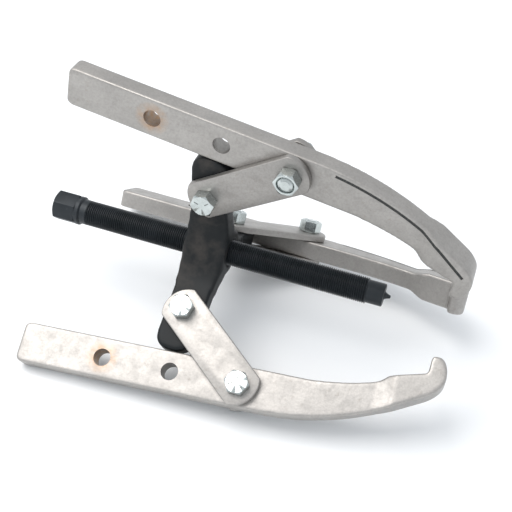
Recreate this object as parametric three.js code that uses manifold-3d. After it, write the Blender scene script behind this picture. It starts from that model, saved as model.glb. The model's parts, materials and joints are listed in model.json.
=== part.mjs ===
// Three-jaw adjustable gear puller, laid down on a bench.
// Millimetres. Modelled first in the tool's own frame: the forcing screw runs along X with its hex head
// at -X and its point at +X, and the yoke pins lie in the plane x = 0. The whole tool is then rolled,
// tipped and lifted so that it rests on z = 0 as it does when it is put down.

import * as THREE from 'three'
import { mergeVertices } from 'three/addons/utils/BufferGeometryUtils.js'
import Module from 'manifold-3d'

// Attitude of the tool on the bench, degrees and millimetres.
const ROLL = -149.651
const TIP = -0.76
const REST_X = -29.403
const REST_Y = 2.231
const REST_LIFT = 63.457

// Forcing screw.
const SCREW_RADIUS = 8.73
const SCREW_HEX_FLATS = 19.05
const SCREW_HEX_LENGTH = 16.4
const SCREW_HEAD_X = -115.5
const SCREW_COLLAR_RADIUS = 10
const SCREW_COLLAR_LENGTH = 3.6
const SCREW_CHAMFER = 1
const SCREW_SHOULDER_X = 111.4
const DOG_RADIUS = 7.7
const DOG_LENGTH = 10.4
const BORE_CLEARANCE = 0.3
const SCREW_TURN = 12

// Centre point, a loose hardened pin in the end of the screw.
const POINT_SHANK_RADIUS = 3.2
const POINT_SHANK_LENGTH = 9
const POINT_BASE_RADIUS = 3.1
const POINT_TIP_RADIUS = 1.1
const POINT_LENGTH = 4.2

// Yoke, a forging with one arm for each jaw.
const JAW_COUNT = 3
const PIN_RADIUS = 49
const ARM_THICKNESS = 13
const ARM_END_RADIUS = 76.4
const ARM_HEAD_SIDE = -12.6
const ARM_SCREW_SIDE = 12.8
const ARM_HEAD_CORNER = 9
const ARM_SCREW_CORNER = 12
const ARM_EDGE = 3
const HUB_HALF_LENGTH = 15.2
const HUB_RADIUS = 15
const HUB_SPREAD = 31
const WEB_WAIST = 16
const WEB_HOLLOW = 15.5
const SCREW_COUNTERSINK = 1.8

// Straps that join the yoke to the jaws.
const LINK_LENGTH = 63
const STRAP_WIDTH = 27
const STRAP_THICKNESS = 4.76
const STRAP_EDGE = 0.6
const STRAP_END_REACH = 12.2
const STRAP_END_CURVE = 17
const SIDE_GAP = 0.25

// Jaws. A jaw's own frame has x along the bar towards the hook, y away from the screw and z across the
// bar, with its origin in the hole that the outer bolt uses.
const BAR_WIDTH = 27
const BAR_THICKNESS = 13
const BAR_EDGE = 1.2
const TAIL_LENGTH = 151
const TAIL_CORNER = 4
const HOLE_SPACING = 46.5
const SPARE_HOLES = 2
const JAW_HOLE_RADIUS = 5.7
const BEND_START = 13
const BACK_CURVE = 185
const BACK_SWEEP = 28
const HEEL_X = 126.5
const HEEL_Y = -31
const THROAT_X = 114.6
const THROAT_Y = -31.6
const HOOK_TIP_Y = -43
const HOOK_TIP_X = 115.6
const HOOK_ROUND = 1.5
const HOOK_FLAT = 4.2
const PAD_START_X = 91.5
const PAD_START_Y = -25.6
const BELLY_X = 42
const STEP_X = 84
const STEP_Y = -20.6
const FOOT_THICKNESS = 20
const FOOT_START_X = 88
const FOOT_EDGE = 2

// Bolts and nuts.
const BOLT_RADIUS = 4.76
const BOLT_HEX_FLATS = 14.29
const BOLT_HEAD_HEIGHT = 7.4
const BOLT_HOLE_RADIUS = 5.15
const BOLT_END_PROUD = 0.6
const NUT_HEIGHT = 8.3
const FACE_GAP = 0.1
const THREAD_GAP = 0.3

// How each jaw stands as the tool lies there: its place round the screw, how far its straps swing out,
// how far its bar leans in, all in degrees, then for each bolt the side its head is on and the turn of
// its hexagon.
const STATIONS = [
  { name: 'front', turn: 0, swing: 35.9, lean: 5.4, yokeBolt: [-1, 7], jawBolt: [-1, 21] },
  { name: 'upper', turn: -120, swing: 32.4, lean: 8.7, yokeBolt: [1, -20], jawBolt: [-1, 30] },
  { name: 'rear', turn: 120, swing: 39.7, lean: 1.8, yokeBolt: [-1, 12], jawBolt: [-1, 30] }
]

const HALF_BAR = BAR_WIDTH / 2
const STRAP_INNER = BAR_THICKNESS / 2 + SIDE_GAP
const STRAP_OUTER = STRAP_INNER + STRAP_THICKNESS
const HEAD_SEAT = STRAP_OUTER + FACE_GAP
const BOLT_END = HEAD_SEAT + NUT_HEIGHT + BOLT_END_PROUD

const wasm = await Module()
wasm.setup()

const radians = THREE.MathUtils.degToRad

const blackOxide = { color: 0x24282b, roughness: 0.45, metalness: 0.7 }
const blackPaint = { color: 0x2b2e31, roughness: 0.55, metalness: 0.3 }
const satinSteel = { color: 0xc4c2bc, roughness: 0.5, metalness: 0.85 }
const zincPlate = { color: 0xc9d3d0, roughness: 0.25, metalness: 1 }

// Booleans. A geometry is turned into a solid, joined or cut, and turned back.
function toSolid(geometry) {
  const bare = geometry.clone()
  bare.deleteAttribute('normal')
  bare.deleteAttribute('uv')
  const merged = mergeVertices(bare, 1e-4)
  const vertProperties = new Float32Array(merged.attributes.position.array)
  const triVerts = new Uint32Array(merged.index.array)
  return new wasm.Manifold(new wasm.Mesh({ numProp: 3, vertProperties, triVerts }))
}

function toGeometry(solid) {
  const mesh = solid.getMesh()
  const geometry = new THREE.BufferGeometry()
  geometry.setAttribute('position', new THREE.BufferAttribute(new Float32Array(mesh.vertProperties), 3))
  geometry.setIndex(new THREE.BufferAttribute(new Uint32Array(mesh.triVerts), 1))
  geometry.computeVertexNormals()
  return geometry
}

function place(geometry, x, y, z) {
  return geometry.clone().translate(x, y, z)
}

function makePiece(name, geometry, finish) {
  const piece = new THREE.Mesh(geometry, new THREE.MeshStandardMaterial(finish))
  piece.name = name
  return piece
}

// A flat plate: an outline in XY, thick along Z about z = 0, with its rims bevelled. Points that fall on
// top of each other where two curves meet are taken out first.
function makePlate(outline, thickness, bevel, steps, rings) {
  const points = outline.getPoints(steps)
  const apart = points.filter((point, at) => {
    const before = points[(at + points.length - 1) % points.length]
    return point.distanceTo(before) > 0.01
  })
  const plate = new THREE.ExtrudeGeometry(new THREE.Shape(apart), {
    depth: thickness - 2 * bevel,
    bevelEnabled: bevel > 0,
    bevelThickness: bevel,
    bevelSize: bevel,
    bevelOffset: -bevel,
    bevelSegments: rings
  })
  return plate.translate(0, 0, bevel - thickness / 2)
}

// A round bar along Z.
function makeRod(radius, low, high, sides) {
  const rod = new THREE.CylinderGeometry(radius, radius, high - low, sides)
  return rod.rotateX(Math.PI / 2).translate(0, 0, (low + high) / 2)
}

// A turned piece about Z from [radius, height] points that start and end on the axis.
function makeTurned(profile, sides) {
  const points = profile.map(([radius, height]) => new THREE.Vector2(radius, height))
  return new THREE.LatheGeometry(points, sides).rotateX(Math.PI / 2)
}

// A hexagonal bar along Z with corners on X, those corners turned off at the top and, if asked, below.
function makeHex(flats, low, high, chamferBelow) {
  const corner = flats / Math.sqrt(3)
  const drop = (corner - flats / 2) * 0.6
  const prism = new THREE.CylinderGeometry(corner, corner, high - low, 6)
  prism.rotateX(Math.PI / 2).rotateZ(Math.PI / 6).translate(0, 0, (low + high) / 2)
  const face = flats * 0.49
  const under = chamferBelow ? [[face, low], [corner, low + drop]] : [[corner, low]]
  const turned = makeTurned([[0, low], ...under, [corner, high - drop], [face, high], [0, high]], 18)
  return toSolid(prism).intersect(toSolid(turned))
}

// The yoke: three arms, the web that blends them into the hub, the pin holes and the screw's bore.
function makeYoke() {
  const profile = new THREE.Shape()
  const screwCorner = [ARM_SCREW_SIDE - ARM_SCREW_CORNER, ARM_END_RADIUS - ARM_SCREW_CORNER]
  const headCorner = [ARM_HEAD_SIDE + ARM_HEAD_CORNER, ARM_END_RADIUS - ARM_HEAD_CORNER]
  profile.moveTo(ARM_HEAD_SIDE, 0)
  profile.lineTo(ARM_SCREW_SIDE, 0)
  profile.absarc(...screwCorner, ARM_SCREW_CORNER, 0, Math.PI / 2, false)
  profile.absarc(...headCorner, ARM_HEAD_CORNER, Math.PI / 2, Math.PI, false)
  const arm = toSolid(makePlate(profile, ARM_THICKNESS, ARM_EDGE, 4, 2))

  const web = new THREE.Shape()
  const half = ARM_THICKNESS / 2 - 0.2
  const spot = (angle, reach, side) => [
    reach * Math.cos(angle) - side * Math.sin(angle),
    reach * Math.sin(angle) + side * Math.cos(angle)
  ]
  const third = (2 * Math.PI) / JAW_COUNT
  web.moveTo(...spot(0, HUB_SPREAD, -half))
  for (let station = 0; station < JAW_COUNT; station += 1) {
    const turn = station * third
    web.lineTo(...spot(turn, HUB_SPREAD, half))
    web.quadraticCurveTo(...spot(turn, WEB_WAIST, half), ...spot(turn + third / 2, WEB_HOLLOW, 0))
    web.quadraticCurveTo(...spot(turn + third, WEB_WAIST, -half), ...spot(turn + third, HUB_SPREAD, -half))
  }
  const core = makePlate(web, 2 * HUB_HALF_LENGTH, ARM_EDGE, 5, 2).rotateZ(Math.PI / 2).rotateY(Math.PI / 2)
  const flare = makeTurned([
    [0, -HUB_HALF_LENGTH], [HUB_RADIUS, -HUB_HALF_LENGTH], [HUB_SPREAD, ARM_HEAD_SIDE + ARM_EDGE / 2],
    [HUB_SPREAD, ARM_SCREW_SIDE - ARM_EDGE / 2], [HUB_RADIUS, HUB_HALF_LENGTH], [0, HUB_HALF_LENGTH]
  ], 36).rotateY(Math.PI / 2)

  let yoke = toSolid(core).intersect(toSolid(flare))
  for (const station of STATIONS) {
    yoke = yoke.add(arm.rotate([station.turn, 0, 0]))
  }
  for (const station of STATIONS) {
    const hole = toSolid(place(makeRod(BOLT_HOLE_RADIUS, -ARM_THICKNESS, ARM_THICKNESS, 20), 0, PIN_RADIUS, 0))
    yoke = yoke.subtract(hole.rotate([station.turn, 0, 0]))
  }
  const boreRadius = SCREW_RADIUS + BORE_CLEARANCE
  const mouthRadius = boreRadius + SCREW_COUNTERSINK
  const mouth = HUB_HALF_LENGTH - SCREW_COUNTERSINK
  const bore = makeTurned([
    [0, -HUB_HALF_LENGTH - 1], [mouthRadius + 1, -HUB_HALF_LENGTH - 1], [boreRadius, -mouth],
    [boreRadius, mouth], [mouthRadius + 1, HUB_HALF_LENGTH + 1], [0, HUB_HALF_LENGTH + 1]
  ], 36).rotateY(Math.PI / 2)
  return toGeometry(yoke.subtract(toSolid(bore)))
}

// The forcing screw: hex head, collar, shaft, plain dog end, and a blind hole for the centre point.
function makeForcingScrew() {
  const hexEnd = SCREW_HEAD_X + SCREW_HEX_LENGTH
  const collarEnd = hexEnd + SCREW_COLLAR_LENGTH
  const dogEnd = SCREW_SHOULDER_X + DOG_LENGTH
  const shaft = makeTurned([
    [0, hexEnd], [SCREW_COLLAR_RADIUS, hexEnd], [SCREW_COLLAR_RADIUS, collarEnd - SCREW_CHAMFER],
    [SCREW_RADIUS, collarEnd], [SCREW_RADIUS, SCREW_SHOULDER_X - SCREW_CHAMFER],
    [DOG_RADIUS, SCREW_SHOULDER_X], [DOG_RADIUS, dogEnd - 0.5], [DOG_RADIUS - 0.5, dogEnd], [0, dogEnd]
  ], 36)
  const head = makeHex(SCREW_HEX_FLATS, -hexEnd, -SCREW_HEAD_X, false)
  const headGeometry = toGeometry(head).rotateX(Math.PI)
  const socket = makeRod(
    POINT_SHANK_RADIUS + THREAD_GAP, dogEnd - POINT_SHANK_LENGTH - THREAD_GAP, dogEnd + 1, 20
  )
  const screw = toSolid(shaft).add(toSolid(headGeometry)).subtract(toSolid(socket))
  return toGeometry(screw).rotateY(Math.PI / 2)
}

// The centre point: a shank in the screw and a waisted point that sits in the shaft's centre.
function makeCentrePoint() {
  const dogEnd = SCREW_SHOULDER_X + DOG_LENGTH
  const waist = (POINT_BASE_RADIUS + POINT_TIP_RADIUS) / 2 - 0.5
  return makeTurned([
    [0, dogEnd - POINT_SHANK_LENGTH], [POINT_SHANK_RADIUS, dogEnd - POINT_SHANK_LENGTH],
    [POINT_SHANK_RADIUS, dogEnd], [waist, dogEnd + POINT_LENGTH / 2],
    [POINT_TIP_RADIUS, dogEnd + POINT_LENGTH], [0, dogEnd + POINT_LENGTH]
  ], 20).rotateY(Math.PI / 2)
}

// A strap: parallel sides and shallow round ends, with a hole for each bolt.
function makeStrap() {
  const half = STRAP_WIDTH / 2
  const depth = Math.sqrt(STRAP_END_CURVE ** 2 - half ** 2)
  const endAngle = Math.atan2(half, depth)
  const farCentre = LINK_LENGTH + STRAP_END_REACH - STRAP_END_CURVE
  const nearCentre = STRAP_END_CURVE - STRAP_END_REACH
  const outline = new THREE.Shape()
  outline.moveTo(nearCentre - depth, -half)
  outline.lineTo(farCentre + depth, -half)
  outline.absarc(farCentre, 0, STRAP_END_CURVE, -endAngle, endAngle, false)
  outline.lineTo(nearCentre - depth, half)
  outline.absarc(nearCentre, 0, STRAP_END_CURVE, Math.PI - endAngle, Math.PI + endAngle, false)
  let strap = toSolid(makePlate(outline, STRAP_THICKNESS, STRAP_EDGE, 3, 1))
  for (const along of [0, LINK_LENGTH]) {
    const hole = makeRod(BOLT_HOLE_RADIUS, -STRAP_THICKNESS, STRAP_THICKNESS, 20)
    strap = strap.subtract(toSolid(place(hole, along, 0, 0)))
  }
  return toGeometry(strap)
}

// The side view of a jaw, from the square tail along the back to the heel, the hook and the belly.
function makeJawOutline() {
  const sweep = radians(BACK_SWEEP)
  const turnX = BEND_START + BACK_CURVE * Math.sin(sweep)
  const turnY = HALF_BAR - BACK_CURVE * (1 - Math.cos(sweep))
  const run = 19
  const heelStartX = turnX + run * Math.cos(sweep)
  const heelStartY = turnY - run * Math.sin(sweep)
  const outline = new THREE.Shape()
  outline.moveTo(-TAIL_LENGTH + TAIL_CORNER, -HALF_BAR)
  outline.lineTo(BELLY_X, -HALF_BAR)
  outline.quadraticCurveTo(BELLY_X + 24, -HALF_BAR - 1.5, STEP_X, STEP_Y)
  outline.quadraticCurveTo(STEP_X + 4, STEP_Y - 1.5, PAD_START_X, PAD_START_Y)
  outline.lineTo(THROAT_X - HOOK_ROUND, THROAT_Y + 0.3)
  outline.lineTo(THROAT_X, THROAT_Y - HOOK_ROUND)
  outline.lineTo(HOOK_TIP_X, HOOK_TIP_Y + HOOK_ROUND)
  outline.lineTo(HOOK_TIP_X + HOOK_ROUND, HOOK_TIP_Y)
  outline.lineTo(HOOK_TIP_X + HOOK_FLAT, HOOK_TIP_Y - 0.2)
  outline.bezierCurveTo(HEEL_X - 3, HOOK_TIP_Y - 0.2, HEEL_X, HEEL_Y - 7, HEEL_X, HEEL_Y)
  outline.bezierCurveTo(HEEL_X, HEEL_Y + 5, HEEL_X - 3, HEEL_Y + 9.4, heelStartX, heelStartY)
  outline.lineTo(turnX, turnY)
  outline.absarc(BEND_START, HALF_BAR - BACK_CURVE, BACK_CURVE, Math.PI / 2 - sweep, Math.PI / 2, false)
  outline.lineTo(-TAIL_LENGTH + TAIL_CORNER, HALF_BAR)
  outline.absarc(-TAIL_LENGTH + TAIL_CORNER, HALF_BAR - TAIL_CORNER, TAIL_CORNER, Math.PI / 2, Math.PI, false)
  outline.absarc(-TAIL_LENGTH + TAIL_CORNER, TAIL_CORNER - HALF_BAR, TAIL_CORNER, Math.PI, Math.PI * 1.5, false)
  return outline
}

// A jaw: the bar with its row of bolt holes, and the thicker forged foot that ends in the hook.
function makeJaw() {
  const outline = makeJawOutline()
  const bar = toSolid(makePlate(outline, BAR_THICKNESS, BAR_EDGE, 4, 1))
  const blank = toSolid(makePlate(outline, FOOT_THICKNESS, FOOT_EDGE, 4, 2))
  const wedge = new THREE.Shape()
  const slope = (FOOT_THICKNESS - BAR_THICKNESS) / 2 + 0.6
  wedge.moveTo(FOOT_START_X - 4, -BAR_THICKNESS / 2 + 0.6)
  wedge.lineTo(FOOT_START_X - 4 + slope * 2, -BAR_THICKNESS / 2 - slope)
  wedge.lineTo(HEEL_X + 4, -BAR_THICKNESS / 2 - slope)
  wedge.lineTo(HEEL_X + 4, BAR_THICKNESS / 2 + slope)
  wedge.lineTo(FOOT_START_X - 4 + slope * 2, BAR_THICKNESS / 2 + slope)
  wedge.lineTo(FOOT_START_X - 4, BAR_THICKNESS / 2 - 0.6)
  const window = makePlate(wedge, 120, 0, 1, 1).rotateX(Math.PI / 2)
  let jaw = bar.add(blank.intersect(toSolid(window)))
  for (let hole = 0; hole <= SPARE_HOLES; hole += 1) {
    const radius = hole === 0 ? BOLT_HOLE_RADIUS : JAW_HOLE_RADIUS
    const drill = makeRod(radius, -BAR_THICKNESS, BAR_THICKNESS, 20)
    jaw = jaw.subtract(toSolid(place(drill, -hole * HOLE_SPACING, 0, 0)))
  }
  return toGeometry(jaw)
}

// A bolt along Z with its head towards +Z.
function makeBolt() {
  const shank = makeTurned([
    [0, -BOLT_END], [BOLT_RADIUS - 0.8, -BOLT_END], [BOLT_RADIUS, -BOLT_END + 0.8],
    [BOLT_RADIUS, HEAD_SEAT + 1], [0, HEAD_SEAT + 1]
  ], 16)
  const head = makeHex(BOLT_HEX_FLATS, HEAD_SEAT, HEAD_SEAT + BOLT_HEAD_HEIGHT, false)
  return toGeometry(toSolid(shank).add(head))
}

// A nut on the far end of the bolt, at -Z.
function makeNut() {
  const body = makeHex(BOLT_HEX_FLATS, -HEAD_SEAT - NUT_HEIGHT, -HEAD_SEAT, true)
  const bore = makeRod(BOLT_RADIUS + THREAD_GAP, -BOLT_END - 2, 0, 16)
  return toGeometry(body.subtract(toSolid(bore)))
}

const strapShape = makeStrap()
const jawShape = makeJaw()
const boltShape = makeBolt()
const nutShape = makeNut()

// A bolt with its nut, put through from the side that its head is on.
function addFastener(parent, name, along, headSide, turn) {
  const bolt = makePiece(`${name}_bolt`, boltShape, zincPlate)
  const nut = makePiece(`${name}_nut`, nutShape, zincPlate)
  for (const piece of [bolt, nut]) {
    piece.position.set(along, 0, 0)
    piece.rotation.x = headSide < 0 ? Math.PI : 0
    piece.rotation.z = radians(headSide * turn)
    parent.add(piece)
  }
}

const tool = new THREE.Group()
tool.add(makePiece('yoke', makeYoke(), blackPaint))
const forcingScrew = makePiece('forcing_screw', makeForcingScrew(), blackOxide)
forcingScrew.rotation.x = radians(SCREW_TURN)
tool.add(forcingScrew)
tool.add(makePiece('centre_point', makeCentrePoint(), blackOxide))

for (const station of STATIONS) {
  const plane = new THREE.Group()
  plane.rotation.x = radians(station.turn)
  tool.add(plane)

  const link = new THREE.Group()
  link.position.set(0, PIN_RADIUS, 0)
  link.rotation.z = radians(station.swing)
  plane.add(link)
  for (const [side, word] of [[-1, 'left'], [1, 'right']]) {
    const strap = makePiece(`${station.name}_${word}_strap`, strapShape, satinSteel)
    strap.position.z = side * (STRAP_INNER + STRAP_THICKNESS / 2)
    link.add(strap)
  }
  addFastener(link, `${station.name}_yoke`, 0, ...station.yokeBolt)
  addFastener(link, `${station.name}_jaw`, LINK_LENGTH, ...station.jawBolt)

  const jaw = makePiece(`${station.name}_jaw`, jawShape, satinSteel)
  jaw.position.set(LINK_LENGTH, 0, 0)
  jaw.rotation.z = radians(-station.lean - station.swing)
  link.add(jaw)
}

// Laid down: rolled about the screw, tipped end for end, and lifted onto the bench.
const rolled = new THREE.Group()
rolled.rotation.x = radians(ROLL)
rolled.add(tool)

const tipped = new THREE.Group()
tipped.rotation.y = radians(TIP)
tipped.position.set(REST_X, REST_Y, REST_LIFT)
tipped.add(rolled)

const group = new THREE.Group()
group.add(tipped)

export default group
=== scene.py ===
import json
import math

import bpy
from mathutils import Matrix, Vector


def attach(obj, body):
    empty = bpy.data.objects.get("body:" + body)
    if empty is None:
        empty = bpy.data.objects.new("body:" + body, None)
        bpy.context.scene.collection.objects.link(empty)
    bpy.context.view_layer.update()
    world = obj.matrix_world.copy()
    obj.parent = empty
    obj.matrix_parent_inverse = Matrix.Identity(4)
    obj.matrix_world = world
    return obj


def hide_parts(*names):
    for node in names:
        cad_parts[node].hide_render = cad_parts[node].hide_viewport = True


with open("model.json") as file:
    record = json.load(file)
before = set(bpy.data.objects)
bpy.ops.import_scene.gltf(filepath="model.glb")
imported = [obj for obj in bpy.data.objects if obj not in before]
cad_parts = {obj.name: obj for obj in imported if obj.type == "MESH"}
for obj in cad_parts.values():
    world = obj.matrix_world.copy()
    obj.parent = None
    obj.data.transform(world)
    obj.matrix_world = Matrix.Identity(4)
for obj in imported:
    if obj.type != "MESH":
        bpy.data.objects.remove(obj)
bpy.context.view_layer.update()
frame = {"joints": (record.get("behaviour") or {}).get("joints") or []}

# The yoke: a black painted forging that holds the whole tool together. Three arms stand at 120 degrees
# round a short thick hub, blended into it by the forging, and each arm is drilled for its pivot bolt.
# The hub is bored for the forcing screw and its mouth is chamfered on both sides.
MM = 0.001
joints = {joint["name"]: joint for joint in frame["joints"]}
screw_axis = Vector(joints["screw_turn"]["axis"]).normalized()
screw_middle = Vector(joints["screw_turn"]["pos_m"])
front_pin = Vector(joints["front_strap_swing"]["pos_m"])
front_way = (front_pin - screw_middle).normalized()


def place_frame(along, out, origin):
    """A place whose X runs along, whose Y leans out, and whose Z is square to both."""
    across = along.cross(out).normalized()
    out = across.cross(along).normalized()
    turn = Matrix((along, out, across)).transposed().to_4x4()
    return Matrix.Translation(origin) @ turn


TOOL = place_frame(screw_axis, front_way, screw_middle)
ARM_REACH = 76.4 * MM
ARM_HALF = 6.5 * MM
ARM_HEAD_SIDE = -12.6 * MM
ARM_POINT_SIDE = 12.8 * MM
HUB_HALF = 15.2 * MM
HUB_RADIUS = 15.6 * MM
GUSSET_REACH = 31 * MM
WEB_HOLLOW = 16 * MM
WEB_HANDLE = 17 * MM
WEB_HALF = 13.6 * MM
ARM_HEAD_CORNER = 9 * MM
ARM_POINT_CORNER = 12 * MM
ARM_ROOT = -8 * MM
PIN_RADIUS = (front_pin - screw_middle).length
PIN_HOLE = 5.15 * MM
BORE = 9.03 * MM
BORE_CHAMFER = 2.6 * MM
DRILL_HALF = 20 * MM
FORGING_GRAIN = 0.9 * MM
FORGING_BLEND = 26
THIRD = math.radians(120)
QUARTER = math.radians(90)


def put_down():
    """Leaves edit mode and selects nothing."""
    if bpy.context.object and bpy.context.object.mode != 'OBJECT':
        bpy.ops.object.mode_set(mode='OBJECT')
    bpy.ops.object.select_all(action='DESELECT')


def pick_up(*pieces):
    put_down()
    for piece in pieces:
        piece.select_set(True)
    bpy.context.view_layer.objects.active = pieces[0]


def cut_plate(name, outline, thickness):
    """A flat plate with its outline in XY, drawn point by point and then pulled up about z = 0."""
    put_down()
    bpy.ops.mesh.primitive_plane_add(size=MM)
    piece = bpy.context.object
    piece.name = name
    bpy.ops.object.mode_set(mode='EDIT')
    bpy.ops.mesh.merge(type='CENTER')
    start = Vector((outline[0][0], outline[0][1], -thickness / 2))
    bpy.ops.transform.translate(value=start)
    for here, there in zip(outline, outline[1:]):
        step = (there[0] - here[0], there[1] - here[1], 0)
        bpy.ops.mesh.extrude_region_move(TRANSFORM_OT_translate={"value": step})
    bpy.ops.mesh.select_all(action='SELECT')
    bpy.ops.mesh.edge_face_add()
    bpy.ops.mesh.extrude_region_move(TRANSFORM_OT_translate={"value": (0, 0, thickness)})
    bpy.ops.mesh.select_all(action='SELECT')
    bpy.ops.mesh.normals_make_consistent(inside=False)
    bpy.ops.object.mode_set(mode='OBJECT')
    return piece


def turn_on_lathe(name, profile, steps):
    """A turned piece about Z: the profile's (radius, height) points, spun once round the axis."""
    put_down()
    bpy.ops.mesh.primitive_plane_add(size=MM)
    piece = bpy.context.object
    piece.name = name
    bpy.ops.object.mode_set(mode='EDIT')
    bpy.ops.mesh.merge(type='CENTER')
    bpy.ops.transform.translate(value=(profile[0][0], 0, profile[0][1]))
    for here, there in zip(profile, profile[1:]):
        step = (there[0] - here[0], 0, there[1] - here[1])
        bpy.ops.mesh.extrude_region_move(TRANSFORM_OT_translate={"value": step})
    bpy.ops.mesh.select_all(action='SELECT')
    bpy.ops.mesh.spin(steps=steps, angle=2 * math.pi, center=(0, 0, 0), axis=(0, 0, 1))
    bpy.ops.mesh.select_all(action='SELECT')
    bpy.ops.mesh.remove_doubles(threshold=MM / 1000)
    bpy.ops.mesh.normals_make_consistent(inside=False)
    bpy.ops.object.mode_set(mode='OBJECT')
    return piece


def finish_modifier(piece, kind, **settings):
    pick_up(piece)
    modifier = piece.modifiers.new(kind.lower(), kind)
    for setting, value in settings.items():
        setattr(modifier, setting, value)
    bpy.ops.object.modifier_apply(modifier=modifier.name)


def cut_away(piece, tool, operation='DIFFERENCE'):
    finish_modifier(piece, 'BOOLEAN', object=tool, operation=operation, solver='EXACT')
    bpy.data.objects.remove(tool)


def lay_in(piece, place):
    """Moves a piece to its place and puts the place into its mesh."""
    piece.matrix_world = place
    pick_up(piece)
    bpy.ops.object.transform_apply(location=True, rotation=True, scale=True)


def copy_of(piece, name):
    twin = piece.copy()
    twin.data = piece.data.copy()
    twin.name = name
    bpy.context.scene.collection.objects.link(twin)
    return twin


def weld(*pieces):
    """Joins the pieces into the first one."""
    pick_up(*pieces)
    bpy.ops.object.join()
    return pieces[0]


def smooth_faces(piece, degrees):
    pick_up(piece)
    bpy.ops.object.shade_smooth_by_angle(angle=math.radians(degrees))


def drill_through(piece, radius, half_length, steps, *places):
    """Bores a round hole along Z through the piece, the drill laid in at each place in turn."""
    drill = turn_on_lathe("drill", [
        (0, -half_length), (radius, -half_length), (radius, half_length), (0, half_length)], steps)
    for place in places:
        lay_in(drill, place)
    cut_away(piece, drill)


def arc(centre_x, centre_y, radius, start, end, steps):
    """Points along a circle, from one angle in degrees to another."""
    points = []
    for step in range(steps + 1):
        angle = math.radians(start + (end - start) * step / steps)
        points.append((centre_x + radius * math.cos(angle), centre_y + radius * math.sin(angle)))
    return points


def bend(start, handle, end, steps):
    """Points along a curve that leaves its start for the handle and comes from there to its end."""
    points = []
    for step in range(steps + 1):
        t = step / steps
        ways = zip(start, handle, end)
        points.append(tuple((1 - t) ** 2 * a + 2 * t * (1 - t) * b + t * t * c for a, b, c in ways))
    return points


arm_outline = [(-HUB_HALF, ARM_ROOT), (HUB_HALF, ARM_ROOT), (HUB_HALF, HUB_RADIUS)]
arm_outline += [(ARM_POINT_SIDE, GUSSET_REACH)]
arm_outline += arc(
    ARM_POINT_SIDE - ARM_POINT_CORNER, ARM_REACH - ARM_POINT_CORNER, ARM_POINT_CORNER, 0, 90, 10)
arm_outline += arc(
    ARM_HEAD_SIDE + ARM_HEAD_CORNER, ARM_REACH - ARM_HEAD_CORNER, ARM_HEAD_CORNER, 90, 180, 8)
arm_outline += [(ARM_HEAD_SIDE, GUSSET_REACH), (-HUB_HALF, HUB_RADIUS)]

yoke_parts = []
for third in range(3):
    arm = cut_plate(f"arm_{third}", arm_outline, 2 * ARM_HALF)
    lay_in(arm, Matrix.Rotation(THIRD * third, 4, 'X'))
    yoke_parts.append(arm)

hub = turn_on_lathe("hub", [
    (0, -HUB_HALF), (HUB_RADIUS, -HUB_HALF), (HUB_RADIUS, HUB_HALF), (0, HUB_HALF)], 72)
lay_in(hub, Matrix.Rotation(QUARTER, 4, 'Y'))


def spot(angle, reach, side):
    """A point that far out along an arm at that angle, and that far to its side."""
    x = reach * math.cos(angle) - side * math.sin(angle)
    y = reach * math.sin(angle) + side * math.cos(angle)
    return (x, y)


web_outline = []
for third in range(3):
    this_arm = THIRD * third
    next_arm = this_arm + THIRD
    hollow = spot(this_arm + THIRD / 2, WEB_HOLLOW, 0)
    this_handle = spot(this_arm, WEB_HANDLE, ARM_HALF)
    next_handle = spot(next_arm, WEB_HANDLE, -ARM_HALF)
    web_outline += bend(spot(this_arm, GUSSET_REACH, ARM_HALF), this_handle, hollow, 8)
    web_outline += bend(hollow, next_handle, spot(next_arm, GUSSET_REACH, -ARM_HALF), 8)[1:]
web = cut_plate("web", web_outline, 2 * WEB_HALF)
lay_in(web, Matrix(((0, 0, 1, 0), (1, 0, 0, 0), (0, 1, 0, 0), (0, 0, 0, 1))))

yoke = weld(*yoke_parts, hub, web)
yoke.name = "forged_yoke"
finish_modifier(yoke, 'REMESH', mode='VOXEL', voxel_size=FORGING_GRAIN)
finish_modifier(yoke, 'SMOOTH', factor=0.5, iterations=FORGING_BLEND)
mouth = HUB_HALF + 1 * MM
bore = turn_on_lathe("bore", [
    (0, -mouth), (BORE + BORE_CHAMFER, -mouth), (BORE, -mouth + BORE_CHAMFER),
    (BORE, mouth - BORE_CHAMFER), (BORE + BORE_CHAMFER, mouth), (0, mouth)], 72)
lay_in(bore, Matrix.Rotation(QUARTER, 4, 'Y'))
cut_away(yoke, bore)
for third in range(3):
    at_pin = Matrix.Translation((0, PIN_RADIUS, 0))
    drill_through(yoke, PIN_HOLE, DRILL_HALF, 40, at_pin, Matrix.Rotation(THIRD * third, 4, 'X'))
smooth_faces(yoke, 35)
lay_in(yoke, TOOL)


def link(tree, out_socket, in_socket):
    tree.links.new(out_socket, in_socket)


def new_finish(name, metallic, roughness):
    """An empty finish: its shader, and the piece's own coordinates to hang patterns on."""
    finish = bpy.data.materials.new(name)
    finish.use_nodes = True
    tree = finish.node_tree
    shader = tree.nodes["Principled BSDF"]
    shader.inputs["Metallic"].default_value = metallic
    shader.inputs["Roughness"].default_value = roughness
    place = tree.nodes.new("ShaderNodeTexCoord")
    return finish, tree, shader, place.outputs["Object"]


def speckle(tree, place, scale, detail, rough):
    """Cloudy noise from 0 to 1, its scale in lumps to the metre."""
    noise = tree.nodes.new("ShaderNodeTexNoise")
    noise.inputs["Scale"].default_value = scale
    noise.inputs["Detail"].default_value = detail
    noise.inputs["Roughness"].default_value = rough
    link(tree, place, noise.inputs["Vector"])
    return noise.outputs["Fac"]


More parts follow.
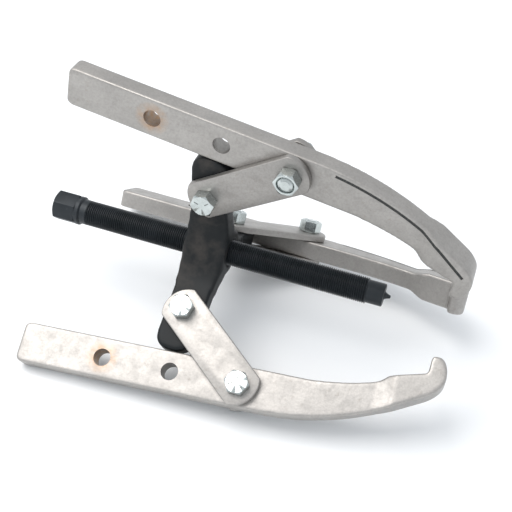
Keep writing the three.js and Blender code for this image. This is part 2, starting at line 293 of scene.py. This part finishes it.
def ramp(tree, amount, stops):
    """Colour by amount, through the given (position, colour) stops."""
    node = tree.nodes.new("ShaderNodeValToRGB")
    elements = node.color_ramp.elements
    while len(elements) < len(stops):
        elements.new(0.5)
    for element, (position, colour) in zip(elements, stops):
        element.position = position
        element.color = (*colour, 1)
    link(tree, amount, node.inputs["Fac"])
    return node.outputs["Color"]


def feed(tree, socket, value):
    """Sets a socket to a number or a colour, or links it to another node's output."""
    if isinstance(value, (int, float)):
        socket.default_value = value
    elif isinstance(value, tuple):
        socket.default_value = (*value, 1)
    else:
        link(tree, value, socket)


def blend_colour(tree, amount, first, second):
    """The first colour where the amount is 0, and the second where it is 1."""
    node = tree.nodes.new("ShaderNodeMix")
    node.data_type = 'RGBA'
    for socket, value in ((0, amount), (6, first), (7, second)):
        feed(tree, node.inputs[socket], value)
    return node.outputs[2]


def sum_of(tree, kind, first, second):
    """Two values put together by a sum of the given kind, such as ADD or MULTIPLY."""
    node = tree.nodes.new("ShaderNodeMath")
    node.operation = kind
    for socket, value in enumerate((first, second)):
        feed(tree, node.inputs[socket], value)
    return node.outputs[0]


def span(tree, amount, low, high, to_low, to_high):
    """The amount's run from low to high, stretched to run from to_low to to_high."""
    node = tree.nodes.new("ShaderNodeMapRange")
    ends = (("From Min", low), ("From Max", high), ("To Min", to_low), ("To Max", to_high))
    for name, value in ends:
        node.inputs[name].default_value = value
    link(tree, amount, node.inputs["Value"])
    return node.outputs["Result"]


def raise_grain(tree, shader, height, strength, depth):
    node = tree.nodes.new("ShaderNodeBump")
    node.inputs["Strength"].default_value = strength
    node.inputs["Distance"].default_value = depth
    link(tree, height, node.inputs["Height"])
    link(tree, node.outputs["Normal"], shader.inputs["Normal"])


def coat(piece, finish):
    """Gives the whole piece one finish."""
    piece.data.materials.clear()
    piece.data.materials.append(finish)


yoke_paint, tree, shader, place = new_finish("yoke_satin_black", 0.0, 0.45)
cloud = speckle(tree, place, 45, 4, 0.6)
grain = speckle(tree, place, 900, 3, 0.6)
# Random darker tone in the black paint, and lighter brownish patches that are painted sheen: the paint's
# soft brownish highlights put into its colour.
tone_and_painted_sheen = ramp(tree, cloud, [
    (0.38, (0.006, 0.009, 0.011)), (0.55, (0.014, 0.016, 0.017)), (0.72, (0.05, 0.045, 0.041))])
link(tree, blend_colour(tree, 0.25, tone_and_painted_sheen, (0.02, 0.021, 0.022)), shader.inputs["Base Color"])
link(tree, span(tree, cloud, 0.3, 0.75, 0.3, 0.52), shader.inputs["Roughness"])
shader.inputs["Specular IOR Level"].default_value = 0.16
raise_grain(tree, shader, sum_of(tree, 'ADD', grain, cloud), 0.35, 0.12 * MM)
coat(yoke, yoke_paint)
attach(yoke, "yoke")
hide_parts("yoke")

# The forcing screw: one bar of steel with a black oxide finish. A hexagon for the wrench, a round
# collar under it, a fine right-hand thread along the shaft and a plain turned-down end.
HEAD_END = -115.5 * MM
HEX_LENGTH = 16.4 * MM
HEX_FLATS = 19.05 * MM
COLLAR_LENGTH = 3.6 * MM
COLLAR_RADIUS = 10 * MM
THREAD_RADIUS = 8.73 * MM
THREAD_PITCH = 25.4 / 18 * MM
THREAD_DEPTH = 0.62 * THREAD_PITCH
THREAD_START = -91 * MM
SHOULDER = 111.4 * MM
DOG_RADIUS = 7.7 * MM
DOG_LENGTH = 10.4 * MM
POINT_HOLE = 3.5 * MM
POINT_HOLE_DEPTH = 9.3 * MM
SCREW_TURN = math.radians(12)

hex_end = HEAD_END + HEX_LENGTH
collar_end = hex_end + COLLAR_LENGTH
dog_end = SHOULDER + DOG_LENGTH
root = THREAD_RADIUS - THREAD_DEPTH
core = root - 0.1 * MM


def make_hexagon(name, flats, low, high, bevel_low, bevel_high):
    """A hexagonal bar along Z, corners on X, with its corners turned off to a circle where asked."""
    corner = flats / math.sqrt(3)
    put_down()
    bpy.ops.mesh.primitive_cylinder_add(
        vertices=6, radius=corner, depth=high - low, location=(0, 0, (low + high) / 2),
        rotation=(0, 0, math.radians(30)))
    bar = bpy.context.object
    bar.name = name
    bpy.ops.object.transform_apply(location=True, rotation=True, scale=True)
    finish_modifier(bar, 'BEVEL', width=0.25 * MM, segments=2, limit_method='ANGLE')
    face = flats * 0.487
    wide = corner * 1.02
    drop = (wide - face) * math.tan(math.radians(30))
    profile = [(0, low)]
    profile += [(face, low), (wide, low + drop)] if bevel_low else [(wide, low)]
    profile += [(wide, high - drop), (face, high)] if bevel_high else [(wide, high)]
    profile += [(0, high)]
    cut_away(bar, turn_on_lathe("chamfer", profile, 96), 'INTERSECT')
    return bar


head = make_hexagon("head", HEX_FLATS, -hex_end, -HEAD_END, False, True)
lay_in(head, Matrix.Rotation(math.radians(180), 4, 'X'))
shaft = turn_on_lathe("shaft", [
    (0, hex_end - 0.2 * MM),
    (COLLAR_RADIUS - 0.3 * MM, hex_end - 0.2 * MM),
    (COLLAR_RADIUS, hex_end + 0.2 * MM),
    (COLLAR_RADIUS, collar_end - 1 * MM),
    (COLLAR_RADIUS - 0.9 * MM, collar_end - 0.1 * MM),
    (THREAD_RADIUS, collar_end),
    (THREAD_RADIUS, THREAD_START),
    (core, THREAD_START + 0.9 * MM),
    (core, SHOULDER - 0.8 * MM),
    (DOG_RADIUS, SHOULDER - 0.6 * MM),
    (DOG_RADIUS, dog_end - 0.7 * MM),
    (DOG_RADIUS - 0.2 * MM, dog_end - 0.2 * MM),
    (DOG_RADIUS - 0.7 * MM, dog_end),
    (POINT_HOLE, dog_end),
    (POINT_HOLE, dog_end - POINT_HOLE_DEPTH),
    (0, dog_end - POINT_HOLE_DEPTH)], 96)

put_down()
bpy.ops.mesh.primitive_plane_add(size=MM)
thread = bpy.context.object
thread.name = "thread"
bpy.ops.object.mode_set(mode='EDIT')
bpy.ops.mesh.merge(type='CENTER')
bpy.ops.transform.translate(value=(root, 0, THREAD_START - THREAD_PITCH))
flank = THREAD_PITCH * 0.4
crest = THREAD_PITCH * 0.1
for outward, along in ((THREAD_DEPTH, flank), (0, crest), (-THREAD_DEPTH, flank), (0, crest)):
    bpy.ops.mesh.extrude_region_move(TRANSFORM_OT_translate={"value": (outward, 0, along)})
bpy.ops.object.mode_set(mode='OBJECT')
thread_turns = round((SHOULDER - THREAD_START) / THREAD_PITCH) + 2
finish_modifier(
    thread, 'SCREW', axis='Z', angle=2 * math.pi, steps=36, render_steps=36,
    screw_offset=THREAD_PITCH, iterations=thread_turns, use_merge_vertices=True, merge_threshold=MM / 200)
pick_up(thread)
bpy.ops.object.mode_set(mode='EDIT')
for height, keep_inner in ((THREAD_START + 0.1 * MM, True), (SHOULDER - 0.9 * MM, False)):
    bpy.ops.mesh.select_all(action='SELECT')
    bpy.ops.mesh.remove_doubles(threshold=MM / 200)
    bpy.ops.mesh.select_all(action='SELECT')
    bpy.ops.mesh.bisect(
        plane_co=(0, 0, height), plane_no=(0, 0, 1), use_fill=True,
        clear_inner=keep_inner, clear_outer=not keep_inner)
bpy.ops.mesh.select_all(action='SELECT')
bpy.ops.mesh.normals_make_consistent(inside=False)
bpy.ops.object.mode_set(mode='OBJECT')

screw = weld(shaft, head, thread)
screw.name = "threaded_screw"
smooth_faces(screw, 32)
lay_in(screw, Matrix.Rotation(SCREW_TURN, 4, 'X') @ Matrix.Rotation(QUARTER, 4, 'Y'))
lay_in(screw, TOOL)

black_oxide, tree, shader, place = new_finish("screw_black_oxide", 0.35, 0.42)
cloud = speckle(tree, place, 60, 4, 0.6)
grain = speckle(tree, place, 1500, 2, 0.5)
rub = speckle(tree, place, 240, 5, 0.75)
oil = ramp(tree, cloud, [(0.35, (0.010, 0.014, 0.017)), (0.7, (0.02, 0.025, 0.03))])
worn = ramp(tree, rub, [(0.62, (0, 0, 0)), (0.72, (0.35, 0.35, 0.35))])
link(tree, blend_colour(tree, worn, oil, (0.09, 0.1, 0.105)), shader.inputs["Base Color"])
link(tree, span(tree, cloud, 0.3, 0.7, 0.34, 0.5), shader.inputs["Roughness"])
raise_grain(tree, shader, grain, 0.2, 0.05 * MM)
coat(screw, black_oxide)
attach(screw, "forcing_screw")
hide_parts("forcing_screw")

# The centre point: a small hardened pin in the end of the screw, waisted and ground to a blunt point
# that sits in the centre hole of the shaft. It stays still there while the screw turns round it.
POINT_SHANK = 3.2 * MM
POINT_SHANK_LENGTH = 9 * MM
POINT_LENGTH = 4.2 * MM
tip = dog_end + POINT_LENGTH
point = turn_on_lathe("ground_point", [
    (0, dog_end - POINT_SHANK_LENGTH),
    (POINT_SHANK, dog_end - POINT_SHANK_LENGTH),
    (POINT_SHANK, dog_end - 0.2 * MM),
    (3.1 * MM, dog_end + 0.1 * MM),
    (2.2 * MM, dog_end + 1.0 * MM),
    (1.6 * MM, dog_end + 2.2 * MM),
    (1.2 * MM, dog_end + 3.4 * MM),
    (1.0 * MM, tip - 0.2 * MM),
    (0.7 * MM, tip),
    (0, tip)], 48)
smooth_faces(point, 40)
lay_in(point, Matrix.Rotation(QUARTER, 4, 'Y'))
lay_in(point, TOOL)
point_black, tree, shader, place = new_finish("point_ground_black", 0.6, 0.35)
grain = speckle(tree, place, 2500, 3, 0.6)
ground = ramp(tree, grain, [(0.3, (0.02, 0.024, 0.028)), (0.7, (0.05, 0.055, 0.06))])
link(tree, ground, shader.inputs["Base Color"])
link(tree, span(tree, grain, 0.3, 0.7, 0.25, 0.45), shader.inputs["Roughness"])
raise_grain(tree, shader, grain, 0.2, 0.03 * MM)
coat(point, point_black)
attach(point, "centre_point")
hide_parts("centre_point")

# The straps: pairs of flat steel links, sawn from 3/16 in bar with shallow round ends and tumbled, so
# that their edges are only just broken. They are zinc plated a matt light grey. Each pair is clamped
# loosely by a bolt through the yoke arm and another through the jaw.
LINK_LENGTH = 63 * MM
STRAP_HALF = 13.5 * MM
STRAP_THICK = 4.76 * MM
STRAP_INNER = 6.75 * MM
STRAP_OFFSET = STRAP_INNER + STRAP_THICK / 2
STRAP_REACH = 12.2 * MM
STRAP_CURVE = 17 * MM
STRAP_BREAK = 0.7 * MM
RUST_START = 8.2 * MM
JAW_LEANS = {"front": 5.4, "upper": 8.7, "rear": 1.8}
# Painted light: each station's straps and jaw are made lighter or darker for how brightly they are lit,
# as lit and shaded copies of one plate finish.
PAINTED_LIGHT_LEVEL = {"front": 0.95, "upper": 0.86, "rear": 0.88}

half_angle = math.degrees(math.asin(STRAP_HALF / STRAP_CURVE))
far_end = LINK_LENGTH + STRAP_REACH - STRAP_CURVE
near_end = STRAP_CURVE - STRAP_REACH
strap_outline = arc(far_end, 0, STRAP_CURVE, -half_angle, half_angle, 14)
strap_outline += arc(near_end, 0, STRAP_CURVE, 180 - half_angle, 180 + half_angle, 14)
strap_blank = cut_plate("strap_blank", strap_outline, STRAP_THICK)
finish_modifier(
    strap_blank, 'BEVEL', width=STRAP_BREAK, segments=3,
    limit_method='ANGLE', angle_limit=math.radians(25))
for along in (0, LINK_LENGTH):
    drill_through(strap_blank, PIN_HOLE, 5 * MM, 48, Matrix.Translation((along, 0, 0)))
smooth_faces(strap_blank, 30)


def shade_of(colour, share):
    return tuple(share * channel for channel in colour)


def plated_finish(name, tone, warmth, roughness, rust_spots=()):
    """Matt plated steel: clouded, faintly pitted and peppered, rust-tinted round the given holes."""
    finish, tree, shader, place = new_finish(name, 0.85, roughness)
    cloud = speckle(tree, place, 28, 5, 0.6)
    pepper = speckle(tree, place, 700, 4, 0.7)
    pits = speckle(tree, place, 260, 3, 0.6)
    light = shade_of((1.0, 1.0 - 0.45 * warmth, 1.0 - warmth), tone)
    skin = ramp(tree, cloud, [(0.36, shade_of(light, 0.84)), (0.64, light)])
    patch = speckle(tree, place, 110, 4, 0.65)
    skin = blend_colour(tree, span(tree, patch, 0.5, 0.75, 0.0, 0.28), skin, shade_of(light, 0.62))
    skin = blend_colour(tree, span(tree, pepper, 0.4, 0.7, 0.0, 0.35), skin, shade_of(light, 0.5))
    stain = span(tree, pits, 0.6, 0.74, 0.0, 0.35)
    skin = blend_colour(tree, stain, skin, (0.26, 0.23, 0.2))
    for spot_place, reach in rust_spots:
        away = tree.nodes.new("ShaderNodeVectorMath")
        away.operation = 'DISTANCE'
        away.inputs[1].default_value = spot_place
        link(tree, place, away.inputs[0])
        halo = span(tree, away.outputs["Value"], RUST_START, reach, 0.8, 0.0)
        patchy = sum_of(tree, 'MULTIPLY', halo, span(tree, pits, 0.3, 0.65, 0.2, 1.0))
        skin = blend_colour(tree, patchy, skin, (0.42, 0.25, 0.13))
    link(tree, skin, shader.inputs["Base Color"])
    sheen = span(tree, patch, 0.3, 0.7, roughness - 0.08, roughness + 0.1)
    link(tree, sheen, shader.inputs["Roughness"])
    height = sum_of(tree, 'ADD', pepper, sum_of(tree, 'MULTIPLY', pits, 1.5))
    raise_grain(tree, shader, height, 0.45, 0.12 * MM)
    return finish


station_frames = {}
jaw_frames = {}
for station, lean in JAW_LEANS.items():
    swing = joints[f"{station}_strap_swing"]
    pivot = joints[f"{station}_jaw_pivot"]
    pin = Vector(swing["pos_m"])
    elbow = Vector(pivot["pos_m"])
    across = Vector(swing["axis"]).normalized()
    reach = elbow - pin
    station_frames[station] = place_frame(reach.normalized(), across.cross(reach).normalized(), pin)
    leaning = math.radians(-lean)
    out = across.cross(screw_axis)
    along = screw_axis * math.cos(leaning) + out * math.sin(leaning)
    jaw_frames[station] = place_frame(along, across.cross(along), elbow)
    # The straps' tone carries the station's painted light level.
    strap_steel = plated_finish(f"{station}_strap_plate", 0.46 * PAINTED_LIGHT_LEVEL[station], 0.09, 0.42)
    for side, word in ((-1, "left"), (1, "right")):
        strap = copy_of(strap_blank, f"{station}_{word}_link")
        lay_in(strap, station_frames[station] @ Matrix.Translation((0, 0, side * STRAP_OFFSET)))
        coat(strap, strap_steel)
        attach(strap, f"{station}_straps")
        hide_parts(f"{station}_{word}_strap")
bpy.data.objects.remove(strap_blank)

# The bolts and nuts: 3/8 in hexagon bolts with three raised dashes on the head, and plain nuts, all
# bright zinc. The bolt's chamfered end stands just proud in the countersunk mouth of its nut.
BOLT_RADIUS = 4.76 * MM
BOLT_FLATS = 14.29 * MM
HEAD_SEAT = STRAP_INNER + STRAP_THICK + 0.1 * MM
HEAD_HEIGHT = 7.4 * MM
NUT_HEIGHT = 8.3 * MM
NUT_PLAY = 0.25 * MM
BOLT_END = HEAD_SEAT + NUT_HEIGHT + 0.6 * MM
BOLT_PITCH = 1.5875 * MM
DASH_SIZE = (3.0 * MM, 0.75 * MM, 0.5 * MM)
DASH_REACH = 4.0 * MM

head_top = HEAD_SEAT + HEAD_HEIGHT
bolt_head = make_hexagon("bolt_head", BOLT_FLATS, HEAD_SEAT, head_top, False, True)
rings = [(BOLT_RADIUS - 1.6 * MM, -BOLT_END), (BOLT_RADIUS - 1.1 * MM, -BOLT_END + 0.3 * MM)]
for ring in range(5):
    low = -BOLT_END + 0.9 * MM + BOLT_PITCH * ring
    groove = (BOLT_RADIUS - 0.8 * MM, low + 0.8 * MM)
    rings += [(BOLT_RADIUS, low), (BOLT_RADIUS, low + 0.2 * MM), groove]
shank = turn_on_lathe("shank", [(0, -BOLT_END)] + rings + [
    (BOLT_RADIUS, rings[-1][1] + 1 * MM), (BOLT_RADIUS, HEAD_SEAT + 1 * MM),
    (0, HEAD_SEAT + 1 * MM)], 48)
dashes = []
for third in range(3):
    put_down()
    bpy.ops.mesh.primitive_cube_add(size=1)
    dash = bpy.context.object
    dash.dimensions = DASH_SIZE
    bpy.ops.object.transform_apply(location=False, rotation=False, scale=True)
    finish_modifier(dash, 'BEVEL', width=0.12 * MM, segments=2)
    turn = Matrix.Rotation(math.radians(120 * third + 25), 4, 'Z')
    lay_in(dash, turn @ Matrix.Translation((DASH_REACH, 0, head_top - 0.05 * MM)))
    dashes.append(dash)

nut_low = -HEAD_SEAT - NUT_HEIGHT
nut_blank = make_hexagon("nut_blank", BOLT_FLATS, nut_low, -HEAD_SEAT, True, True)
tap = turn_on_lathe("tap", [
    (0, nut_low - 1 * MM), (6.0 * MM, nut_low - 1 * MM), (5.9 * MM, nut_low),
    (BOLT_RADIUS + NUT_PLAY, nut_low + 1.6 * MM), (BOLT_RADIUS + NUT_PLAY, -HEAD_SEAT + 1 * MM),
    (0, -HEAD_SEAT + 1 * MM)], 48)
cut_away(nut_blank, tap)
smooth_faces(nut_blank, 28)


def zinc_finish(name, tone):
    """Bright zinc plate with a faint blue-green cast, brushed by handling."""
    finish, tree, shader, place = new_finish(name, 1.0, 0.22)
    cloud = speckle(tree, place, 120, 4, 0.6)
    scratch = speckle(tree, place, 900, 5, 0.75)
    bright = shade_of((0.93, 1.0, 0.985), tone)
    skin = ramp(tree, cloud, [(0.3, shade_of(bright, 0.8)), (0.65, bright)])
    link(tree, skin, shader.inputs["Base Color"])
    link(tree, span(tree, scratch, 0.3, 0.7, 0.14, 0.3), shader.inputs["Roughness"])
    raise_grain(tree, shader, scratch, 0.15, 0.04 * MM)
    return finish


zinc = zinc_finish("hardware_zinc", 0.6)
zinc_shade = zinc_finish("hardware_zinc_marks", 0.3)
for dash in dashes:
    coat(dash, zinc_shade)
coat(bolt_head, zinc)
coat(shank, zinc)
bolt_blank = weld(bolt_head, shank, *dashes)
smooth_faces(bolt_blank, 28)
coat(nut_blank, zinc)

# Each bolt's place along the links, the side its head is on, and how far its hexagon is turned.
BOLTS = {
    "front_yoke": (0, -1, 7), "front_jaw": (LINK_LENGTH, -1, 21),
    "upper_yoke": (0, 1, -20), "upper_jaw": (LINK_LENGTH, -1, 30),
    "rear_yoke": (0, -1, 12), "rear_jaw": (LINK_LENGTH, -1, 30)}
for spot_name, (along, head_side, turn) in BOLTS.items():
    station = spot_name.split("_")[0]
    aim = Matrix.Rotation(math.pi if head_side < 0 else 0, 4, 'X')
    turned = aim @ Matrix.Rotation(math.radians(head_side * turn), 4, 'Z')
    for blank, kind in ((bolt_blank, "bolt"), (nut_blank, "nut")):
        piece = copy_of(blank, f"{spot_name}_zinc_{kind}")
        lay_in(piece, station_frames[station] @ Matrix.Translation((along, 0, 0)) @ turned)
        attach(piece, f"{station}_straps")
        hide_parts(f"{spot_name}_{kind}")
bpy.data.objects.remove(bolt_blank)
bpy.data.objects.remove(nut_blank)

# The jaws: drop forgings in matt grey plate. A straight bar with a row of three holes for setting the
# reach, a back that sweeps over to the heel, and a thicker foot that ends in the hook. A narrow step
# from the forging die follows the back edge on one face.
BAR_HALF = 13.5 * MM
BAR_THICK = 13 * MM
TAIL = 151 * MM
HOLE_SPACING = 46.5 * MM
SPARE_HOLE = 5.8 * MM
BACK_CURVE = 185 * MM
BACK_SWEEP = 28
FOOT_THICK = 20 * MM
FLARE_START = 85.5 * MM
FLARE_END = 96 * MM
TAIL_CORNER = 4 * MM
BACK_START = 13 * MM
HEEL_REACH = 19 * MM
JAW_GRAIN = 0.7 * MM
JAW_BLEND = 22
RUST_REACH = 13.5 * MM
STEP_INSET = 3.4 * MM
STEP_RADIUS = 1.0 * MM
STEP_PROUD = 0.15 * MM
HEEL_TURN_X = 119 * MM
HEEL_TURN_Y = -25.5 * MM


def jaw_back(start, end, inset, steps):
    """Points along the back of the jaw, from one sweep angle to another, set in from the edge."""
    middle = BAR_HALF - BACK_CURVE
    return arc(BACK_START, middle, BACK_CURVE - inset, 90 - start, 90 - end, steps)


def cubic(start, first, second, end, steps):
    """Points along a curve with a handle at each end."""
    points = []
    for step in range(steps + 1):
        t = step / steps
        ways = zip(start, first, second, end)
        points.append(tuple(
            (1 - t) ** 3 * a + 3 * t * (1 - t) ** 2 * b + 3 * t * t * (1 - t) * c + t ** 3 * d
            for a, b, c, d in ways))
    return points


def mm_points(*pairs):
    """Points given in millimetres."""
    return [(x * MM, y * MM) for x, y in pairs]


tail_x = -TAIL + TAIL_CORNER
tail_y = BAR_HALF - TAIL_CORNER
jaw_outline = arc(tail_x, -tail_y, TAIL_CORNER, 180, 270, 5)
jaw_outline += bend(*mm_points((42, -13.5), (66, -15), (84, -20.6)), 10)
jaw_outline += bend(*mm_points((84, -20.6), (88, -22.1), (91.5, -25.6)), 6)[1:]
jaw_outline += mm_points((112.6, -31.1))
jaw_outline += arc(113.1 * MM, -32.9 * MM, 1.7 * MM, 78, 8, 4)
jaw_outline += arc(117.6 * MM, -41.2 * MM, 2.0 * MM, 188, 268, 5)
jaw_outline += cubic(*mm_points((119.8, -43.2), (123.5, -43.2), (126.5, -38), (126.5, -31)), 8)[1:]
sweep = math.radians(BACK_SWEEP)
turn_x = BACK_START + BACK_CURVE * math.sin(sweep)
turn_y = BAR_HALF - BACK_CURVE * (1 - math.cos(sweep))
heel_top = (turn_x + HEEL_REACH * math.cos(sweep), turn_y - HEEL_REACH * math.sin(sweep))
jaw_outline += cubic(*mm_points((126.5, -31), (126.5, -26), (123.5, -21.6)), heel_top, 8)[1:]
jaw_outline += jaw_back(BACK_SWEEP, 0, 0, 18)
jaw_outline += arc(tail_x, tail_y, TAIL_CORNER, 90, 180, 5)

jaw_blank = cut_plate("jaw_blank", jaw_outline, FOOT_THICK)
past_tail = -TAIL - 5 * MM
for side in (-1, 1):
    waste = cut_plate("waste", [
        (past_tail, BAR_THICK / 2), (FLARE_START, BAR_THICK / 2), (FLARE_END, FOOT_THICK / 2),
        (FLARE_END, FOOT_THICK), (past_tail, FOOT_THICK)], 120 * MM)
    on_edge = Matrix.Rotation(side * QUARTER, 4, 'X')
    lay_in(waste, Matrix.Translation((0, -15 * MM, 0)) @ on_edge)
    cut_away(jaw_blank, waste)
finish_modifier(jaw_blank, 'REMESH', mode='VOXEL', voxel_size=JAW_GRAIN)
finish_modifier(jaw_blank, 'SMOOTH', factor=0.5, iterations=JAW_BLEND)

coat(jaw_blank, bpy.data.materials.new("bare_forging"))
for hole in range(3):
    size = PIN_HOLE if hole == 0 else SPARE_HOLE
    drill_through(jaw_blank, size, 8 * MM, 48, Matrix.Translation((-hole * HOLE_SPACING, 0, 0)))

# Painted shade: a dark finish for the cut faces of the die step, standing in for the shadow in its
# crease.
step_painted_shade, tree, shader, place = new_finish("die_step_shade", 0.6, 0.6)
shade_grain = speckle(tree, place, 900, 3, 0.6)
shade = ramp(tree, shade_grain, [(0.3, (0.045, 0.05, 0.05)), (0.7, (0.1, 0.1, 0.095))])
link(tree, shade, shader.inputs["Base Color"])


def bend_rod(points, radius):
    """A round rod through the given points, with flat ends, which presses the step into the jaw."""
    put_down()
    bpy.ops.mesh.primitive_plane_add(size=MM)
    rod = bpy.context.object
    bpy.ops.object.mode_set(mode='EDIT')
    bpy.ops.mesh.merge(type='CENTER')
    bpy.ops.transform.translate(value=points[0])
    for here, there in zip(points, points[1:]):
        step = tuple(there[axis] - here[axis] for axis in range(3))
        bpy.ops.mesh.extrude_region_move(TRANSFORM_OT_translate={"value": step})
    bpy.ops.object.mode_set(mode='OBJECT')
    bpy.ops.object.convert(target='CURVE')
    rod.data.bevel_depth = radius
    rod.data.bevel_resolution = 3
    rod.data.use_fill_caps = True
    bpy.ops.object.convert(target='MESH')
    # This dark finish passes to the step's cut faces in the jaw: painted shade in the crease.
    coat(rod, step_painted_shade)
    return rod


step_line = jaw_back(4, BACK_SWEEP, STEP_INSET, 16)
last_x, last_y = step_line[-1]
for quarter in range(1, 5):
    x = last_x + (HEEL_TURN_X - last_x) * quarter / 4
    y = last_y + (HEEL_TURN_Y - last_y) * quarter / 4
    step_line.append((x, y))
line = []
for x, y in step_line:
    swell = min(max((x - FLARE_START) / (FLARE_END - FLARE_START), 0), 1)
    line.append((x, y, BAR_THICK / 2 + swell * (FOOT_THICK - BAR_THICK) / 2 + STEP_PROUD))
rod = bend_rod(line, STEP_RADIUS)
finish_modifier(
    jaw_blank, 'BOOLEAN', object=rod, operation='DIFFERENCE', solver='EXACT', material_mode='TRANSFER')
bpy.data.objects.remove(rod)
smooth_faces(jaw_blank, 38)

for station in JAW_LEANS:
    jaw = copy_of(jaw_blank, f"{station}_forged_jaw")
    lay_in(jaw, jaw_frames[station])
    far_hole = jaw_frames[station] @ Vector((-2 * HOLE_SPACING, 0, 0))
    rust = [(far_hole, RUST_REACH)] if station != "rear" else []
    # The jaw's tone carries the station's painted light level.
    jaw_steel = plated_finish(f"{station}_jaw_plate", 0.5 * PAINTED_LIGHT_LEVEL[station], 0.09, 0.44, rust)
    jaw.data.materials[0] = jaw_steel
    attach(jaw, f"{station}_jaw")
    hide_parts(f"{station}_jaw")
bpy.data.objects.remove(jaw_blank)

# The bench, the light and the camera: a plain pale surface under a broad soft light, seen from above
# and in front.
put_down()
bpy.ops.mesh.primitive_plane_add(size=6)
floor = bpy.context.object
floor.name = "bench"
bench_white, tree, shader, place = new_finish("bench_white", 0.0, 0.6)
shader.inputs["Base Color"].default_value = (0.9, 0.915, 0.925, 1)
floor.data.materials.append(bench_white)

world = bpy.data.worlds.new("studio")
bpy.context.scene.world = world
world.use_nodes = True
sky = world.node_tree.nodes["Background"]
sky.inputs["Color"].default_value = (0.93, 0.96, 1.0, 1)
sky.inputs["Strength"].default_value = 0.9


def add_softbox(name, place, size, power, tint):
    """A square soft light that looks at the tool."""
    put_down()
    bpy.ops.object.light_add(type='AREA', location=place)
    lamp = bpy.context.object
    lamp.name = name
    lamp.data.shape = 'RECTANGLE'
    lamp.data.size = size
    lamp.data.size_y = size
    lamp.data.energy = power
    lamp.data.color = tint
    lamp.rotation_euler = (TOOL_MIDDLE - Vector(place)).to_track_quat('-Z', 'Y').to_euler()


TOOL_MIDDLE = Vector((0, 0, 0.05))
add_softbox("overhead", (-0.5, -0.2, 1.15), 0.9, 11.5, (1.0, 0.97, 0.945))
add_softbox("left_fill", (-1.2, -0.9, 0.9), 0.9, 1.5, (0.95, 0.97, 1.0))

bpy.ops.object.camera_add(location=(0.13112, -0.44715, 0.48109))
camera = bpy.context.object
camera.rotation_euler = [math.radians(angle) for angle in (48.3195, -4.0974, 19.5253)]
camera.data.lens = 65.445
camera.data.sensor_width = 36
camera.data.clip_start = 0.01
bpy.context.scene.camera = camera
bpy.context.scene.view_settings.view_transform = 'Standard'
